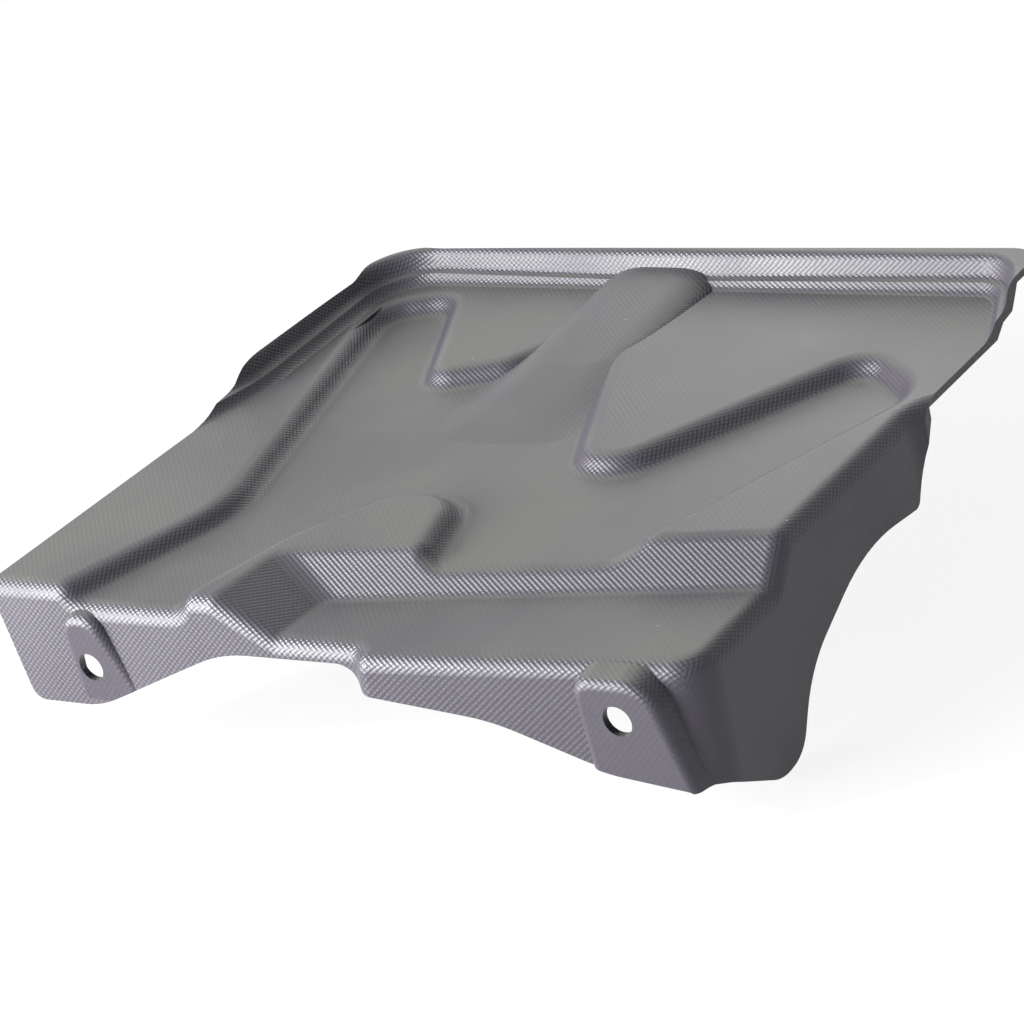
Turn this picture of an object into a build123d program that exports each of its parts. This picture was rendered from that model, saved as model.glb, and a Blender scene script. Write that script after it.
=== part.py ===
"""Engine splash shield: one sheet of grained plastic, vacuum formed over a tool and trimmed.

Sizes are in millimetres. The origin is midway between the two fixing holes, on the flat front
of their bosses. +X runs to the right along the front, +Y to the back and +Z up, show side on top.
"""

import os
from math import atan2, radians, tan

from build123d import *

# Sheet
sheet_thickness = 2.5

# Heights of the show side above the axis of the fixing holes
top_level = 27.0
basin_level = 21.0
ledge_level = 15.0

# Trimmed edges of the panel; the back left corner reaches a little further out
left_edge = -145.0
right_edge = 132.5
back_edge = 243.5
corner_reach = 4.5
left_bend_y = 150.0
left_bend_radius = 90.0
back_left_radius = 18.0
back_right_radius = 12.0

# Fixing holes, one in each boss
hole_diameter = 10.0
hole_spacing = 210.0

# Front skirt: its wall at the height of the holes, its draft, and the jog to its slanted right part
front_wall_y = 1.5
front_draft = 7.0
jog_x = 8.0
jog_run = 6.0
jog_depth = 5.3
jog_radius = 6.0
front_slant = 5.7

# Right skirt: its wall at the height of the holes, and where it flares out into the flat edge
right_wall_x = 131.2
right_draft = 2.5
corner_radius = 12.0
flare_y = 148.0
flare_run = 16.0
flare_reach = 14.0
flare_radius = 20.0

# Ledge: a point on the foot of its back wall and of its left ramp, with their headings and slopes
ledge_wall_y = 31.8
ledge_wall_heading = 9.8
ledge_wall_slope = 43.0
ramp_x = -23.0
ramp_y = 10.0
ramp_heading = 84.0
ramp_slope = 27.0
ledge_corner_radius = 11.0

# Rounding of the formed edges
basin_draft = 38.0
basin_rim_radius = 8.0
basin_foot_radius = 7.0
ledge_rim_radius = 7.0
ledge_foot_radius = 5.0
fold_radius = 6.0

# Lip: its height, the small step at its foot and the run of its wall
lip_height = 11.5
lip_step_height = 3.6
lip_step_run = 2.2
lip_shelf_run = 2.6
lip_shelf_rise = 0.8
lip_wall_run = 2.4
lip_foot_radius = 5.0
lip_wall_radius = 3.0
lip_top_radius = 3.5

# Ridge that runs forward from the back lip and fades into the basin: half widths and heights of its
# section at the back, measured from the floor of the basin
ridge_x = -21.0
ridge_front_y = 122.0
ridge_half_width = 38.0
ridge_height = 15.0
ridge_flank = 21.5
ridge_flank_height = 10.5
ridge_crown = 13.0
ridge_crown_height = 14.4
foot_sink = 0.4

# Bosses: draft of their sides, depth behind their flat front and rounding of that front
boss_draft = 12.0
boss_depth = 9.0
boss_front_radius = 3.5

# Forming tool: how far it reaches beyond the trimmed sheet
tool_margin = 40.0
tool_floor = -50.0
tool_front = -60.0
tool_left = left_edge - tool_margin
tool_right = right_edge + tool_margin
tool_back = back_edge + tool_margin
tool_top = top_level + tool_margin
basin_front = -40.0
ledge_block = 600.0
lip_reach = 26.0
lip_base = 26.0

# Distance within which an edge of the tool counts as one of its outer edges
edge_margin = 1.0

# Rim of the branched basin at the top level: corners x, y and radius
basin_rim = [
    (-130.0, basin_front, 10.0),
    (-91.0, 67.0, 40.0),
    (-141.0, 221.0, 15.0),
    (-109.0, 234.0, 15.0),
    (-74.0, 166.0, 8.0),
    (-47.0, 177.0, 12.0),
    (-25.0, 212.0, 12.0),
    (-8.0, 188.0, 12.0),
    (35.0, 94.0, 14.0),
    (92.0, 190.0, 12.0),
    (126.0, 163.0, 18.0),
    (64.0, 12.0, 12.0),
    (20.0, 12.0, 12.0),
    (-10.0, 101.0, 18.0),
    (-47.0, 50.0, 60.0),
    (-73.0, basin_front, 10.0),
]

# Foot of the lip at the top level, from the left edge round the back to the right edge
lip_foot = [
    (-159.0, 66.0, 0.0),
    (-137.5, left_bend_y, 60.0),
    (-143.0, 240.0, 18.0),
    (119.0, 231.0, 12.0),
    (150.0, 154.0, 0.0),
]

# Bosses: corners beside the hole axis (across, up, radius)
left_boss = [(-9.5, tool_floor, 0.0), (-8.0, 18.0, 6.0), (6.0, 18.0, 8.0), (37.0, tool_floor, 0.0)]
right_boss = [(-14.0, tool_floor, 0.0), (-14.0, 12.5, 6.0), (12.5, 12.5, 12.0), (28.5, tool_floor, 0.0)]

# Trimmed bottom of the front skirt, seen from the front (x, z, radius)
front_trim_start = 21.0
front_trim_end = 126.0
front_trim = [
    (left_edge, front_trim_start, 8.0),
    (-136.0, -14.5, 6.0),
    (-106.0, -14.5, 40.0),
    (-47.0, 8.5, 60.0),
    (4.0, 9.0, 10.0),
    (12.0, 2.5, 12.0),
    (58.0, -4.5, 80.0),
    (94.0, -18.5, 60.0),
    (front_trim_end, -22.0, 3.0),
]

# Trimmed bottom of the right skirt, seen from the right (y, z, radius)
side_trim_start = -22.5
side_trim_end = 24.0
flat_edge_y = 104.0
side_trim = [
    (8.0, side_trim_start, 20.0),
    (33.0, -37.0, 16.0),
    (46.0, -36.0, 14.0),
    (61.0, -15.5, 45.0),
    (flat_edge_y, 2.0, 70.0),
    (138.0, -2.5, 4.0),
    (156.0, side_trim_end, 3.0),
]


def rounded_face(plane, corners):
    """Face of straight runs with a radius at each corner, from (a, b, radius) on the plane."""
    with BuildSketch(plane) as sketch:
        with BuildLine():
            FilletPolyline([c[:2] for c in corners], radius=[c[2] for c in corners], close=True)
        make_face()
    return sketch.sketch


def sloped_wall(x, y, heading, slope):
    """Plane of a ledge wall that rises from a foot line through (x, y)."""
    foot = Location((x, y, ledge_level), (0, 0, heading))
    return Plane(foot * Location((0, 0, 0), (slope, 0, 0)))


def skirt_walls(inset):
    """Block inside the drafted skirt walls, moved inwards by the inset, with its corners rounded."""
    front_y = front_wall_y + inset
    right_x = right_wall_x - inset
    jog_end = jog_x + jog_run
    corner_y = front_y - jog_depth + (right_x - jog_end) * tan(radians(front_slant))
    corners = [
        (tool_left, front_y),
        (jog_x, front_y),
        (jog_end, front_y - jog_depth),
        (right_x, corner_y),
        (right_x, flare_y),
        (right_x + flare_reach, flare_y + flare_run),
        (right_x + flare_reach, tool_back),
        (tool_left, tool_back),
    ]
    radii = [jog_radius, jog_radius, corner_radius - inset, flare_radius, flare_radius]
    with BuildPart() as walls:
        with BuildSketch(Plane.XY.offset(tool_floor)):
            with BuildLine():
                Polyline(*corners, close=True)
            make_face()
        extrude(amount=tool_top - tool_floor)
        front = walls.faces().filter_by(lambda f: f.center().Y < corner_y)
        draft(front, neutral_plane=Plane.XY, angle=front_draft)
        right = walls.faces().filter_by(lambda f: f.center().X > right_x - edge_margin)
        draft(right, neutral_plane=Plane.XY, angle=right_draft)
        for (x, y), radius in zip(corners[1:], radii):
            fillet(walls.edges().sort_by_distance(Vertex(x, y, 0))[0], radius=radius)
    return walls.part


def ridge_section(y, swell, rounded):
    """Bell-shaped section of the ridge at a share of its full height, or a plain trapezium."""
    low = basin_level - foot_sink
    rises = [
        (ridge_half_width, 0.0),
        (ridge_flank, ridge_flank_height),
        (ridge_crown, ridge_crown_height),
    ]
    left = [(ridge_x - across, low + swell * up) for across, up in rises]
    right = [(ridge_x + across, low + swell * up) for across, up in reversed(rises)]
    with BuildSketch(Plane.XZ.offset(-y)) as section:
        with BuildLine():
            if rounded:
                crest = (ridge_x, low + swell * ridge_height)
                Spline(*left, crest, *right, tangents=((1, 0), (1, 0)))
            else:
                Polyline(left[0], left[-1], right[0], right[-1])
            Polyline(right[-1], (right[-1][0], tool_floor), (left[0][0], tool_floor), left[0])
        make_face()
    return section.sketch


def lip_solid(inset):
    """Lip swept along its foot; the inset moves it out and down to the sharp-cornered underside."""
    with BuildLine() as foot:
        FilletPolyline(
            [(x, y, top_level) for x, y, radius in lip_foot],
            radius=[radius for x, y, radius in lip_foot[1:-1]],
        )
    start = foot.wire().position_at(0)
    along = foot.wire().tangent_at(0)
    section_plane = Plane(origin=start, x_dir=(-along.Y, along.X, 0), z_dir=along)
    shelf_x = lip_step_run + lip_shelf_run
    inner = -lip_foot_radius
    profile = [
        (inner, -foot_sink, 0.0),
        (0.0, 0.0, lip_foot_radius),
        (lip_step_run, lip_step_height, 0.0),
        (shelf_x, lip_step_height + lip_shelf_rise, lip_wall_radius),
        (shelf_x + lip_wall_run, lip_height, lip_top_radius),
        (lip_reach, lip_height, 0.0),
        (lip_reach, -lip_base, 0.0),
        (inner, -lip_base, 0.0),
    ]
    if inset:
        lean = atan2(lip_wall_run, lip_height - lip_step_height - lip_shelf_rise)
        shift = inset * tan((radians(90) - lean) / 2)
        profile = [(across + shift, up - inset, 0.0) for across, up, radius in profile]
    with BuildPart() as lip:
        sweep(rounded_face(section_plane, profile), path=foot.wire())
    return lip.part


def boss_solid(hole_x, corners, inset):
    """Boss with a flat front round a fixing hole; the inset gives its sharp-cornered underside."""
    outline = rounded_face(Plane.XZ, [(hole_x + x, z, radius) for x, z, radius in corners])
    front_plane = Plane.XZ.offset(-inset)
    with BuildSketch(front_plane) as front:
        add(outline)
        if inset:
            offset(amount=-inset)
    with BuildPart() as boss:
        extrude(front.sketch, amount=-boss_depth)
        draft(boss.faces().sort_by(Axis.Y)[1:-1], neutral_plane=front_plane, angle=boss_draft)
        if not inset:
            front_edges = boss.faces().sort_by(Axis.Y)[0].edges()
            fillet(front_edges.sort_by(Axis.Z)[1:], radius=boss_front_radius)
    return boss.part


def basin_pocket(rounded):
    """Pocket that forms the branched basin."""
    with BuildPart() as pocket:
        rim_plane = Plane.XY.offset(top_level)
        extrude(rounded_face(rim_plane, basin_rim), amount=basin_level - top_level)
        draft(pocket.faces().sort_by(Axis.Z)[1:-1], neutral_plane=rim_plane, angle=-basin_draft)
        if rounded:
            fillet(pocket.faces().sort_by(Axis.Z)[0].edges(), radius=basin_foot_radius)
    return pocket.part


def ledge_pocket(rounded):
    """Pocket that forms the ledge: open to the front and right, with a back wall and a ramp on its left."""
    with BuildPart() as pocket:
        with BuildSketch(Plane.XY.offset(ledge_level)):
            Rectangle(ledge_block, ledge_block)
        extrude(amount=tool_top - ledge_level)
        split(bisect_by=sloped_wall(0, ledge_wall_y, ledge_wall_heading, ledge_wall_slope), keep=Keep.TOP)
        split(bisect_by=sloped_wall(ramp_x, ramp_y, ramp_heading, ramp_slope), keep=Keep.TOP)
        if rounded:
            corner = pocket.edges().filter_by(
                lambda e: e.center().Z > ledge_level + edge_margin and e.center().X < 0 < e.center().Y
            )
            fillet(corner, radius=ledge_corner_radius)
            foot_edges = pocket.faces().sort_by(Axis.Z)[0].edges().filter_by(
                lambda e: e.center().X < tool_right and e.center().Y > tool_front
            )
            fillet(foot_edges, radius=ledge_foot_radius)
    return pocket.part


def formed_panel(rounded):
    """Panel of the forming tool with its pockets and the ridge, their edges rounded or sharp."""
    with BuildPart() as panel:
        with BuildSketch(Plane((tool_left, tool_front, tool_floor))):
            Rectangle(tool_right - tool_left, tool_back - tool_front, align=Align.MIN)
        extrude(amount=top_level - tool_floor)
        add(basin_pocket(rounded), mode=Mode.SUBTRACT)
        if rounded:
            fillet(panel.faces().sort_by(Axis.Z)[-1].inner_wires()[0].edges(), radius=basin_rim_radius)
        add(ledge_pocket(rounded), mode=Mode.SUBTRACT)
        if rounded:
            ledge_rim = panel.edges(Select.NEW).filter_by(
                lambda e: e.center().Z > basin_level - edge_margin
                and e.center().X < tool_right - edge_margin
                and e.center().Y > tool_front + edge_margin
            )
            fillet(ledge_rim, radius=ledge_rim_radius)
        loft(
            [ridge_section(back_edge, 1.0, rounded), ridge_section(ridge_front_y, 0.0, rounded)],
            ruled=True,
        )
    return panel.part


def formed_side(inset):
    """Solid under one side of the sheet: the rounded show side, or the underside one thickness in."""
    rounded = not inset
    with BuildPart() as form:
        add(formed_panel(rounded).moved(Location((0, 0, -inset))))
        add(skirt_walls(inset), mode=Mode.INTERSECT)
        if rounded:
            skirts = form.faces().sort_by(Axis.Z)[1:].filter_by(
                lambda f: f.bounding_box().min.Z < tool_floor + edge_margin
                and f.center().X > left_edge
                and f.center().Y < back_edge
            )
            fold = [e for wall in skirts for e in wall.edges() if e.center().Z > 0]
            fillet(fold, radius=fold_radius)
        add(lip_solid(inset))
        add(boss_solid(-hole_spacing / 2, left_boss, inset))
        add(boss_solid(hole_spacing / 2, right_boss, inset))
    return form.part


# Sheet between its two sides, trimmed to its outline and drilled
with BuildPart() as splash_shield:
    add(formed_side(0.0))
    add(formed_side(sheet_thickness), mode=Mode.SUBTRACT)
    outline = [
        (left_edge, tool_front, 0.0),
        (left_edge, left_bend_y, left_bend_radius),
        (left_edge - corner_reach, back_edge + corner_reach, back_left_radius),
        (right_edge, back_edge, back_right_radius),
        (right_edge, flat_edge_y, 0.0),
        (tool_right, flat_edge_y, 0.0),
        (tool_right, tool_front, 0.0),
    ]
    extrude(
        rounded_face(Plane.XY.offset(tool_floor), outline),
        amount=tool_top - tool_floor,
        mode=Mode.INTERSECT,
    )
    front_cut = [(tool_left, tool_floor, 0.0), (tool_left, front_trim_start, 0.0)]
    front_cut += front_trim
    front_cut += [(front_trim_end, tool_floor, 0.0)]
    extrude(
        rounded_face(Plane.XZ.offset(-tool_back), front_cut),
        amount=tool_back - tool_front,
        mode=Mode.SUBTRACT,
    )
    side_cut = [(tool_front, tool_floor, 0.0), (tool_front, side_trim_start, 0.0)]
    side_cut += side_trim
    side_cut += [(tool_back, side_trim_end, 0.0), (tool_back, tool_floor, 0.0)]
    extrude(
        rounded_face(Plane.YZ.offset(right_edge - corner_radius), side_cut),
        amount=tool_margin,
        mode=Mode.SUBTRACT,
    )
    with BuildSketch(Plane.XZ):
        with GridLocations(hole_spacing, 0, 2, 1):
            Circle(hole_diameter / 2)
    extrude(amount=boss_depth, both=True, mode=Mode.SUBTRACT)

splash_shield.part.label = "splash_shield"
os.makedirs("parts", exist_ok=True)
export_step(splash_shield.part, "parts/splash_shield.step")
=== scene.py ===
"""Engine splash shield: the formed sheet in its grained plastic, on a pale studio floor."""

from math import radians, tau

import bmesh
import bpy
from mathutils import Euler, Matrix, Vector


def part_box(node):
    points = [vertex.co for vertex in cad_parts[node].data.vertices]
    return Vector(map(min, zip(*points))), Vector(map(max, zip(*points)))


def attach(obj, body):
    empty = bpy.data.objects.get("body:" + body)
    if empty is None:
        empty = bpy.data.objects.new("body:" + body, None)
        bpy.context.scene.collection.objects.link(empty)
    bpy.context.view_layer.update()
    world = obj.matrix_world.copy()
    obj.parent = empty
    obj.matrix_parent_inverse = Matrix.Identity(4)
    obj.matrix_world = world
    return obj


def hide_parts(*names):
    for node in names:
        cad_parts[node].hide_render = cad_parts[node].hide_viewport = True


bl_info = {
    "name": "Engine Splash Shield",
    "version": (1, 0, 0),
    "blender": (4, 5, 0),
    "location": "View3D > Sidebar > Shield",
    "description": "Grained plastic and studio stage for a formed splash shield",
    "category": "Object",
}

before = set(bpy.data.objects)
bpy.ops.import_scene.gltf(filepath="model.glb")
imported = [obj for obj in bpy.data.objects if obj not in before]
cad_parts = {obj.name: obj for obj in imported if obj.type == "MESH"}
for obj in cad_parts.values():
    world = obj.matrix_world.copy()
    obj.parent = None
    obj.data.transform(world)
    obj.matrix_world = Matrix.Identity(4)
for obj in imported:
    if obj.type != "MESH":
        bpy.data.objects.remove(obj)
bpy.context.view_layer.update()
SHEET_LOW, SHEET_HIGH = (Vector(corner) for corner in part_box("splash_shield"))
PHOTO_WIDTH_PX = 1024
FILM_WIDTH_MM = 36.0
WHITE = (1.0, 1.0, 1.0, 1.0)
MM = 0.001
MERGE_DISTANCE = 0.001 * MM

# Least upward or downward part of the normal on the two faces of the ridge.
RIDGE_FACE_TILT = 0.7

# Upward part of a face's normal, 0 on an upright face and 1 on a flat one, where the grain changes.
UPRIGHT_TO_DRAFTED = (0.0, 0.14)
SLOPES_START = (0.2, 0.4)
SLOPES_END = (0.97, 0.85)
FLATS_START = (0.90, 0.985)
UPRIGHT_GRAIN = 0.35
DRAFT_GAIN = 0.4
SLOPE_GAIN = 0.8
# Sideways part of the normal where the grain turns to the faces that look left and right.
SIDES_START = (0.35, 0.60)

# Where the trimmed edges begin: plain sheet at the first value, edge from the second on.
RIGHT_EDGE_BEHIND_SKIRT = (150.0 * MM, 156.0 * MM)
BACK_EDGE = (241.5 * MM, 242.5 * MM)
LEFT_EDGE = (-144.0 * MM, -144.6 * MM)
FRONT_SKIRT = (7.5 * MM, 6.5 * MM)
RIGHT_SKIRT = (126.5 * MM, 127.5 * MM)

# Name, place, width, depth and watts of each lamp; all look at the middle of the sheet.
LAMPS = (
    ("back_softbox", (-0.60, 1.60, 0.80), 0.9, 0.9, 4.2),
    ("top_softbox", (-0.15, 0.35, 1.5), 1.1, 1.1, 2.5),
    ("left_softbox", (-1.0, -0.95, 0.38), 1.3, 1.1, 98.0),
    ("left_strip", (-0.9, -0.62, 0.75), 0.12, 0.5, 13.0),
)


class PlasticSettings(bpy.types.PropertyGroup):
    """Colours, grain and wear of the formed plastic sheet."""

    plastic_color: bpy.props.FloatVectorProperty(
        name="Plastic",
        description="Charcoal of the sheet, with a trace of violet",
        subtype="COLOR",
        size=4,
        default=(0.037, 0.033, 0.045, 1.0),
    )
    # Grey laid on the faces that look up: partly pale dust, partly a painted sheen standing in for
    # the light the top faces catch.
    dust_and_sheen_color: bpy.props.FloatVectorProperty(
        name="Dust and sheen",
        description="Dust and painted sheen on the faces that look up",
        subtype="COLOR",
        size=4,
        default=(0.090, 0.090, 0.086, 1.0),
    )
    cut_color: bpy.props.FloatVectorProperty(
        name="Cut edge",
        description="Scuffed plastic along the trimmed edges",
        subtype="COLOR",
        size=4,
        default=(0.095, 0.092, 0.095, 1.0),
    )
    speck_color: bpy.props.FloatVectorProperty(
        name="Specks",
        description="Pale dust in the grain",
        subtype="COLOR",
        size=4,
        default=(0.45, 0.45, 0.44, 1.0),
    )
    grain_pitch: bpy.props.FloatProperty(
        name="Grain pitch",
        description="Distance between neighbouring diamonds of the embossed grain",
        subtype="DISTANCE",
        default=2.3 * MM,
    )
    grain_depth: bpy.props.FloatProperty(
        name="Grain depth",
        description="Height of the embossed diamonds",
        subtype="DISTANCE",
        default=0.085 * MM,
    )
    flat_grain: bpy.props.FloatProperty(
        name="Grain on flats",
        description="Height of the diamonds on the flat faces, as a share of those on the walls",
        subtype="FACTOR",
        default=0.6,
        min=0.0,
        max=1.0,
    )
    roughness: bpy.props.FloatProperty(
        name="Roughness",
        description="Roughness of the plastic between the diamonds",
        subtype="FACTOR",
        default=0.36,
        min=0.0,
        max=1.0,
    )
    edge_band: bpy.props.FloatProperty(
        name="Edge band",
        description="Width of the scuffed band at a trimmed edge",
        subtype="DISTANCE",
        default=0.6 * MM,
    )


class RidgeSettings(bpy.types.PropertyGroup):
    """Where the ridge behind the basin lies and how low it is formed."""

    middle: bpy.props.FloatProperty(
        name="Middle",
        description="Sideways place of the crest of the ridge",
        subtype="DISTANCE",
        default=-21.0 * MM,
    )
    half_width: bpy.props.FloatProperty(
        name="Half width",
        description="Reach of the ridge to each side of its crest where it stands on the panel",
        subtype="DISTANCE",
        default=27.5 * MM,
    )
    panel_level: bpy.props.FloatProperty(
        name="Panel level",
        description="Height of the show side of the panel that the ridge stands on",
        subtype="DISTANCE",
        default=27.0 * MM,
    )
    sheet_thickness: bpy.props.FloatProperty(
        name="Sheet",
        description="Thickness of the plastic sheet",
        subtype="DISTANCE",
        default=2.5 * MM,
    )
    height_share: bpy.props.FloatProperty(
        name="Height",
        description="Share of its full height above the panel that the formed ridge keeps",
        subtype="FACTOR",
        default=0.66,
        min=0.1,
        max=1.0,
    )


class StageSettings(bpy.types.PropertyGroup):
    """Camera, floor and room light of the studio."""

    camera_place: bpy.props.FloatVectorProperty(
        name="Camera place",
        description="Where the camera stands",
        subtype="TRANSLATION",
        unit="LENGTH",
        default=(0.61924, -0.61119, 0.42036),
    )
    camera_azimuth: bpy.props.FloatProperty(
        name="Azimuth",
        description="Turn of the camera from the front towards the right",
        subtype="ANGLE",
        default=radians(40.97),
    )
    camera_elevation: bpy.props.FloatProperty(
        name="Elevation",
        description="Height of the camera above the level of the panel",
        subtype="ANGLE",
        default=radians(23.56),
    )
    camera_roll: bpy.props.FloatProperty(
        name="Roll",
        description="Turn of the camera about its own line of sight",
        subtype="ANGLE",
        default=radians(-15.95),
    )
    focal_px: bpy.props.FloatProperty(
        name="Focal length",
        description="Focal length in pixels of the square picture",
        default=3142.07,
    )
    floor_size: bpy.props.FloatProperty(
        name="Floor",
        description="Side of the square floor",
        subtype="DISTANCE",
        default=12.0,
    )
    floor_color: bpy.props.FloatVectorProperty(
        name="Floor colour",
        description="Near white of the floor and of the backdrop",
        subtype="COLOR",
        size=4,
        default=(0.94, 0.945, 0.935, 1.0),
    )
    floor_glow: bpy.props.FloatProperty(
        name="Floor glow",
        description="Share of plain white in the floor, which leaves the shadow faint",
        subtype="FACTOR",
        default=0.88,
        min=0.0,
        max=1.0,
    )
    room_light: bpy.props.FloatProperty(
        name="Room light",
        description="Strength of the even light of the room",
        default=0.16,
    )


class NodeBench:
    """Adds nodes to one material or world and joins them.

    Where a value is no socket, it is set on the node's own socket.
    """

    def __init__(self, material):
        self.nodes = material.node_tree.nodes
        self.links = material.node_tree.links
        self.nodes.clear()

    def feed(self, socket, value):
        if isinstance(value, bpy.types.NodeSocket):
            self.links.new(value, socket)
        else:
            socket.default_value = value

    def math(self, operation, *values, clamp=False):
        node = self.nodes.new("ShaderNodeMath")
        node.operation = operation
        node.use_clamp = clamp
        for socket, value in zip(node.inputs, values):
            self.feed(socket, value)
        return node.outputs[0]

    def ramp(self, value, low, high):
        """0 below low, 1 above high and a soft step between; low may be the larger."""
        node = self.nodes.new("ShaderNodeMapRange")
        node.interpolation_type = "SMOOTHSTEP"
        self.feed(node.inputs["Value"], value)
        node.inputs["From Min"].default_value = low
        node.inputs["From Max"].default_value = high
        return node.outputs["Result"]

    def mix(self, factor, first, second):
        node = self.nodes.new("ShaderNodeMix")
        node.data_type = "RGBA"
        self.feed(node.inputs["Factor"], factor)
        self.feed(node.inputs["A"], first)
        self.feed(node.inputs["B"], second)
        return node.outputs["Result"]

    def noise(self, vector, scale, detail=2.0, roughness=0.5):
        node = self.nodes.new("ShaderNodeTexNoise")
        self.feed(node.inputs["Vector"], vector)
        node.inputs["Scale"].default_value = scale
        node.inputs["Detail"].default_value = detail
        node.inputs["Roughness"].default_value = roughness
        return node.outputs["Fac"]

    def split(self, vector):
        node = self.nodes.new("ShaderNodeSeparateXYZ")
        self.feed(node.inputs["Vector"], vector)
        return node.outputs["X"], node.outputs["Y"], node.outputs["Z"]


def diamond_grain(bench, place, normal, pitch, flat_share):
    """Height of the embossed diamonds, which run on over the folds from the flats down the walls.

    The diamonds on the flat faces stand only a share of the height of those on the walls,
    and they are crispest on the slopes and faintest on the upright faces.
    """
    x, y, z = place

    def wave(length):
        return bench.math("COSINE", bench.math("MULTIPLY", length, tau / pitch))

    def down_wall(level, facing):
        drop = bench.math("MULTIPLY", z, bench.math("SIGN", facing))
        return bench.math("SUBTRACT", level, drop)

    front = bench.math("MULTIPLY", wave(x), wave(down_wall(y, normal[1])))
    side = bench.math("MULTIPLY", wave(y), wave(down_wall(x, normal[0])))
    side_share = bench.ramp(bench.math("ABSOLUTE", normal[0]), *SIDES_START)
    change = bench.math("SUBTRACT", side, front)
    grain = bench.math("MULTIPLY_ADD", change, side_share, front)

    steepness = bench.math("ABSOLUTE", normal[2])
    drafted = bench.ramp(steepness, *UPRIGHT_TO_DRAFTED)
    drafted = bench.math("MULTIPLY_ADD", drafted, DRAFT_GAIN, UPRIGHT_GRAIN)
    sloped = bench.ramp(steepness, *SLOPES_START)
    sloped = bench.math("MULTIPLY", sloped, bench.ramp(steepness, *SLOPES_END))
    crisp = bench.math("MULTIPLY_ADD", sloped, SLOPE_GAIN, drafted)
    flat = bench.ramp(steepness, *FLATS_START)
    flat = bench.math("MULTIPLY_ADD", flat, flat_share - 1.0, 1.0)
    return bench.math("MULTIPLY", grain, bench.math("MULTIPLY", crisp, flat))


def trimmed_edge(bench, place, normal, band):
    """1 on the faces of the trimmed edge and along a narrow band beside it."""
    x, y, _ = place
    upright = bench.ramp(bench.math("ABSOLUTE", normal[2]), 0.35, 0.15)
    right = bench.ramp(x, SHEET_HIGH.x - 2 * band, SHEET_HIGH.x - band)
    behind_skirt = bench.ramp(y, *RIGHT_EDGE_BEHIND_SKIRT)
    right_edge = bench.math("MULTIPLY", right, behind_skirt)
    back_edge = bench.ramp(y, *BACK_EDGE)
    left_edge = bench.ramp(x, *LEFT_EDGE)
    outer = bench.math("MAXIMUM", bench.math("MAXIMUM", right_edge, back_edge), left_edge)
    outer = bench.math("MULTIPLY", outer, upright)
    looks_down = bench.ramp(normal[2], -0.25, -0.45)
    front_skirt = bench.ramp(y, *FRONT_SKIRT)
    right_skirt = bench.ramp(x, *RIGHT_SKIRT)
    skirts = bench.math("MAXIMUM", front_skirt, right_skirt)
    lower = bench.math("MULTIPLY", skirts, looks_down)
    return bench.math("MAXIMUM", outer, lower)


def grained_plastic(settings):
    """Dark plastic with an embossed diamond grain, dust and a painted sheen on top, and scuffed cut
    edges.
    """
    material = bpy.data.materials.new("grained_plastic")
    material.use_nodes = True
    bench = NodeBench(material)
    coordinates = bench.nodes.new("ShaderNodeTexCoord")
    position = coordinates.outputs["Object"]
    place = bench.split(position)
    normal = bench.split(coordinates.outputs["Normal"])

    grain = diamond_grain(bench, place, normal, settings.grain_pitch, settings.flat_grain)
    unevenness = bench.noise(position, 900.0)
    height = bench.math("MULTIPLY_ADD", unevenness, 0.4, grain)

    # Painted sheen: faces that look up are mixed towards a lighter grey, partly for dust and partly
    # for the light they catch; noise patches vary how much.
    looks_up = bench.ramp(normal[2], 0.80, 0.99)
    patches = bench.ramp(bench.noise(position, 14.0, detail=4.0), 0.30, 0.72)
    dust_and_sheen = bench.math("MULTIPLY", looks_up, bench.math("MULTIPLY_ADD", patches, 0.60, 0.40))
    color = bench.mix(dust_and_sheen, settings.plastic_color, settings.dust_and_sheen_color)
    speck_cells = bench.nodes.new("ShaderNodeTexVoronoi")
    bench.feed(speck_cells.inputs["Vector"], position)
    speck_cells.inputs["Scale"].default_value = 90.0
    specks = bench.ramp(speck_cells.outputs["Distance"], 0.055, 0.035)
    dusty = bench.ramp(bench.noise(position, 31.0), 0.58, 0.64)
    specks = bench.math("MULTIPLY", specks, dusty)
    color = bench.mix(bench.math("MULTIPLY", specks, 0.6), color, settings.speck_color)
    edge = trimmed_edge(bench, place, normal, settings.edge_band)
    rubbed = bench.ramp(bench.noise(position, 420.0, detail=4.0), 0.25, 0.70)
    scuff = bench.math("MULTIPLY", edge, rubbed)
    color = bench.mix(scuff, color, settings.cut_color)

    wear = bench.math("MULTIPLY_ADD", patches, 0.12, settings.roughness)
    roughness = bench.math("MULTIPLY_ADD", scuff, 0.25, wear)

    bump = bench.nodes.new("ShaderNodeBump")
    bump.inputs["Strength"].default_value = 0.7
    bump.inputs["Distance"].default_value = settings.grain_depth
    bench.feed(bump.inputs["Height"], height)

    shader = bench.nodes.new("ShaderNodeBsdfPrincipled")
    bench.feed(shader.inputs["Base Color"], color)
    bench.feed(shader.inputs["Roughness"], roughness)
    bench.feed(shader.inputs["Normal"], bump.outputs["Normal"])
    shader.inputs["IOR"].default_value = 1.48
    output = bench.nodes.new("ShaderNodeOutputMaterial")
    bench.feed(output.inputs["Surface"], shader.outputs["BSDF"])
    return material


def background_rays(bench):
    """1 for the rays that see the plain white: the camera's, and those in gloss and glass."""
    ray = bench.nodes.new("ShaderNodeLightPath")
    seen = bench.math("MAXIMUM", ray.outputs["Is Camera Ray"], ray.outputs["Is Glossy Ray"])
    return bench.math("MAXIMUM", seen, ray.outputs["Is Transmission Ray"])


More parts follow.
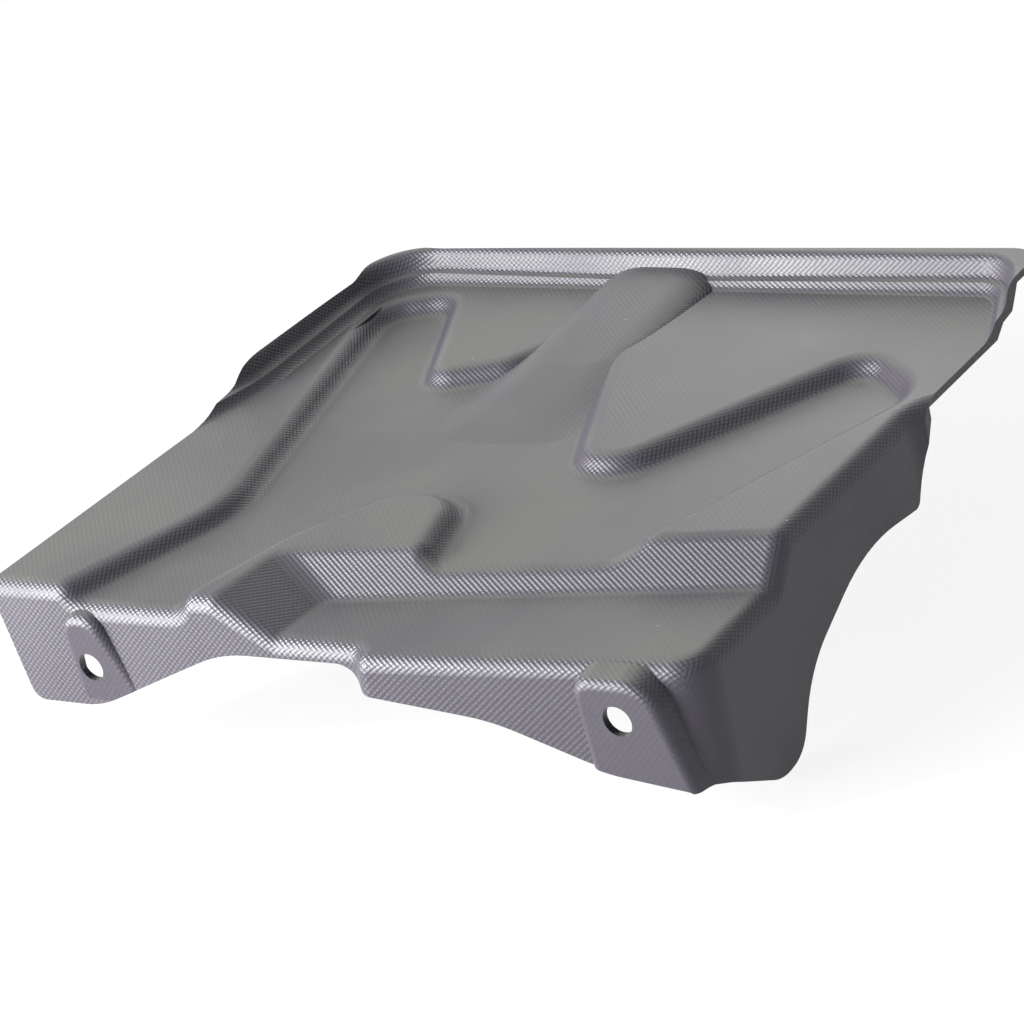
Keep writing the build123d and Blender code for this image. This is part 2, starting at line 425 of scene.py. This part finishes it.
def floor_finish(settings):
    """Near white floor; its share of plain white leaves only a faint shadow."""
    material = bpy.data.materials.new("studio_floor")
    material.use_nodes = True
    bench = NodeBench(material)
    paint = bench.nodes.new("ShaderNodeBsdfDiffuse")
    paint.inputs["Color"].default_value = settings.floor_color
    white = bench.nodes.new("ShaderNodeEmission")
    blend = bench.nodes.new("ShaderNodeMixShader")
    glow = bench.math("MULTIPLY", background_rays(bench), settings.floor_glow)
    bench.feed(blend.inputs["Fac"], glow)
    bench.feed(blend.inputs[1], paint.outputs["BSDF"])
    bench.feed(blend.inputs[2], white.outputs["Emission"])
    output = bench.nodes.new("ShaderNodeOutputMaterial")
    bench.feed(output.inputs["Surface"], blend.outputs["Shader"])
    return material


def add_lamp(scene, name, place, width, depth, watts):
    """Soft rectangular lamp that looks at the middle of the sheet."""
    lamp = bpy.data.lights.new(name, "AREA")
    lamp.shape = "RECTANGLE"
    lamp.size = width
    lamp.size_y = depth
    lamp.energy = watts
    holder = bpy.data.objects.new(name, lamp)
    holder.location = place
    aim = (SHEET_LOW + SHEET_HIGH) / 2 - Vector(place)
    holder.rotation_euler = aim.to_track_quat("-Z", "Y").to_euler()
    scene.collection.objects.link(holder)


def light_room(scene, settings):
    """Even light of the room, behind which the camera, gloss and glass see plain white."""
    scene.world = bpy.data.worlds.new("studio_room")
    scene.world.use_nodes = True
    bench = NodeBench(scene.world)
    room = bench.nodes.new("ShaderNodeBackground")
    room.inputs["Color"].default_value = WHITE
    room.inputs["Strength"].default_value = settings.room_light
    white = bench.nodes.new("ShaderNodeBackground")
    white.inputs["Color"].default_value = WHITE
    blend = bench.nodes.new("ShaderNodeMixShader")
    bench.feed(blend.inputs["Fac"], background_rays(bench))
    bench.feed(blend.inputs[1], room.outputs["Background"])
    bench.feed(blend.inputs[2], white.outputs["Background"])
    output = bench.nodes.new("ShaderNodeOutputWorld")
    bench.feed(output.inputs["Surface"], blend.outputs["Shader"])


def set_camera(scene, settings):
    """Camera at the photograph's viewing angle."""
    lens = bpy.data.cameras.new("photo_camera")
    lens.sensor_width = FILM_WIDTH_MM
    lens.lens = settings.focal_px * FILM_WIDTH_MM / PHOTO_WIDTH_PX
    camera = bpy.data.objects.new("photo_camera", lens)
    tilt = radians(90) - settings.camera_elevation
    turn = Euler((tilt, 0, settings.camera_azimuth)).to_matrix()
    roll = Matrix.Rotation(settings.camera_roll, 3, "Z")
    camera.rotation_euler = (turn @ roll).to_euler()
    camera.location = settings.camera_place
    scene.collection.objects.link(camera)
    scene.camera = camera


def ease_ridge(sheet, settings):
    """Lower both faces of the ridge towards the panel and turn their normals to suit."""
    carried = sheet.loops.layers.float_vector["formed_normal"]
    lip_level = SHEET_HIGH.z - settings.sheet_thickness
    squeeze = settings.height_share
    lowered = {}
    for face in sheet.faces:
        if abs(face.normal.z) <= RIDGE_FACE_TILT:
            continue
        level = settings.panel_level
        if face.normal.z < 0:
            level -= settings.sheet_thickness
        for loop in face.loops:
            place = loop.vert.co
            beside = abs(place.x - settings.middle)
            if level < place.z < lip_level and beside < settings.half_width:
                lowered[loop.vert] = level
                tilt = loop[carried]
                eased = Vector((tilt.x * squeeze, tilt.y * squeeze, tilt.z))
                loop[carried] = eased.normalized()
    for vert, level in lowered.items():
        vert.co.z = level + (vert.co.z - level) * squeeze


def formed_mesh(settings):
    """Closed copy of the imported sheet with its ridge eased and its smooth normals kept."""
    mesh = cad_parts["splash_shield"].data.copy()
    mesh.name = "formed_sheet"
    normals = [corner.vector.copy() for corner in mesh.corner_normals]
    sheet = bmesh.new()
    sheet.from_mesh(mesh)
    carried = sheet.loops.layers.float_vector.new("formed_normal")
    corners = (loop for face in sheet.faces for loop in face.loops)
    for loop, normal in zip(corners, normals):
        loop[carried] = normal
    bmesh.ops.remove_doubles(sheet, verts=sheet.verts, dist=MERGE_DISTANCE)
    ease_ridge(sheet, settings)
    for face in sheet.faces:
        face.smooth = True
    sheet.to_mesh(mesh)
    sheet.free()
    kept = mesh.attributes["formed_normal"]
    mesh.normals_split_custom_set([item.vector for item in kept.data])
    # Setting the normals can move the attribute, so it is looked up again.
    mesh.attributes.remove(mesh.attributes["formed_normal"])
    return mesh


class SHIELD_OT_form_sheet(bpy.types.Operator):
    """Make the formed sheet and give it its grained plastic"""

    bl_idname = "shield.form_sheet"
    bl_label = "Form the sheet"

    def execute(self, context):
        mesh = formed_mesh(context.scene.shield_ridge)
        mesh.materials.clear()
        mesh.materials.append(grained_plastic(context.scene.shield_plastic))
        sheet = bpy.data.objects.new("formed_sheet", mesh)
        context.scene.collection.objects.link(sheet)
        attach(sheet, "root")
        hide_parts("splash_shield")
        return {"FINISHED"}


class SHIELD_OT_set_stage(bpy.types.Operator):
    """Lay the floor and set up the lamps, the room light and the camera"""

    bl_idname = "shield.set_stage"
    bl_label = "Set the stage"

    def execute(self, context):
        scene = context.scene
        settings = scene.shield_stage
        bpy.ops.mesh.primitive_plane_add(size=settings.floor_size, location=(0, 0, SHEET_LOW.z))
        floor = context.object
        floor.name = "studio_floor"
        floor.data.materials.append(floor_finish(settings))

        for lamp in LAMPS:
            add_lamp(scene, *lamp)
        light_room(scene, settings)
        set_camera(scene, settings)
        scene.view_settings.view_transform = "Standard"
        return {"FINISHED"}


class SHIELD_PT_panel(bpy.types.Panel):
    """Lists the steps and sizes of the splash shield"""

    bl_idname = "SHIELD_PT_panel"
    bl_label = "Splash shield"
    bl_space_type = "VIEW_3D"
    bl_region_type = "UI"
    bl_category = "Shield"

    def draw(self, context):
        scene = context.scene
        steps = (
            (SHIELD_OT_form_sheet, (scene.shield_ridge, scene.shield_plastic)),
            (SHIELD_OT_set_stage, (scene.shield_stage,)),
        )
        for step, groups in steps:
            self.layout.operator(step.bl_idname)
            for group in groups:
                for name in type(group).__annotations__:
                    self.layout.prop(group, name)


CLASSES = (
    PlasticSettings,
    RidgeSettings,
    StageSettings,
    SHIELD_OT_form_sheet,
    SHIELD_OT_set_stage,
    SHIELD_PT_panel,
)


def register():
    for item in CLASSES:
        bpy.utils.register_class(item)
    bpy.types.Scene.shield_plastic = bpy.props.PointerProperty(type=PlasticSettings)
    bpy.types.Scene.shield_ridge = bpy.props.PointerProperty(type=RidgeSettings)
    bpy.types.Scene.shield_stage = bpy.props.PointerProperty(type=StageSettings)


def unregister():
    del bpy.types.Scene.shield_stage
    del bpy.types.Scene.shield_ridge
    del bpy.types.Scene.shield_plastic
    for item in reversed(CLASSES):
        bpy.utils.unregister_class(item)


def main():
    register()
    bpy.ops.shield.form_sheet()
    bpy.ops.shield.set_stage()


if __name__ == "__main__":
    main()
